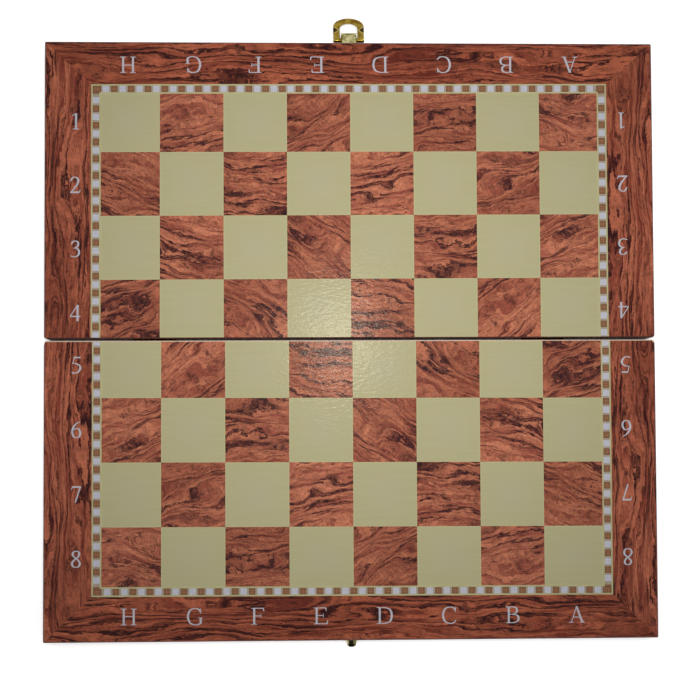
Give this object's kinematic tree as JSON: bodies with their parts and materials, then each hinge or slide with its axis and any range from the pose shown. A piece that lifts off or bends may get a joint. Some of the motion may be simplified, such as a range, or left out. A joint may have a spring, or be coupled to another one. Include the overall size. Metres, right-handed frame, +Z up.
{
  "type": "folding chess board box",
  "caption": "Folding wooden chess board box lying open: two hinged trays with a checkered playing face, brass butt hinges, hasp and catch.",
  "frame": {"origin": "on the table, under the middle of the open board with its hasp and catch", "axes": "+Z up out of the playing face, +Y from the near half with the catch to the far half with the hasp, +X to the right along the seam"},
  "size_m": [0.34, 0.3569, 0.0233],
  "materials": {
    "printed_face": "satin lacquered print of red veined wood and pale squares",
    "panel_board": "raw thin board",
    "stained_wood": "red brown stain under satin lacquer",
    "felt_lining": "short green felt",
    "brass_fittings": "pressed brass, lightly aged"
  },
  "bodies": {
    "far_half": {"far_playing_sheet": "printed_face", "far_panel": "panel_board", "far_lining": "felt_lining", "far_hinge_rail": "stained_wood", "far_left_rail": "stained_wood", "far_right_rail": "stained_wood", "far_latch_rail": "stained_wood", "left_hinge_far_leaf": "brass_fittings", "left_hinge_pin": "brass_fittings", "left_hinge_far_nails": "brass_fittings", "right_hinge_far_leaf": "brass_fittings", "right_hinge_pin": "brass_fittings", "right_hinge_far_nails": "brass_fittings", "hasp_plate": "brass_fittings", "hasp_nails": "brass_fittings"},
    "near_half": {"near_playing_sheet": "printed_face", "near_panel": "panel_board", "near_lining": "felt_lining", "near_hinge_rail": "stained_wood", "near_left_rail": "stained_wood", "near_right_rail": "stained_wood", "near_latch_rail": "stained_wood", "left_hinge_near_leaf": "brass_fittings", "left_hinge_near_nails": "brass_fittings", "right_hinge_near_leaf": "brass_fittings", "right_hinge_near_nails": "brass_fittings", "catch_plate": "brass_fittings", "catch_nails": "brass_fittings"},
    "hasp_loop": {"hasp_loop": "brass_fittings"}
  },
  "joints": [
    {"name": "fold", "type": "hinge", "parent": "far_half", "child": "near_half", "pos_m": [0, -0.00679, 0.0011], "axis": [1, 0, 0], "range_deg": [0, 180]},
    {"name": "hasp", "type": "hinge", "parent": "far_half", "child": "hasp_loop", "pos_m": [0, 0.16471, 0.00575], "axis": [1, 0, 0], "range_deg": [-81.46, 110.54]}
  ]
}
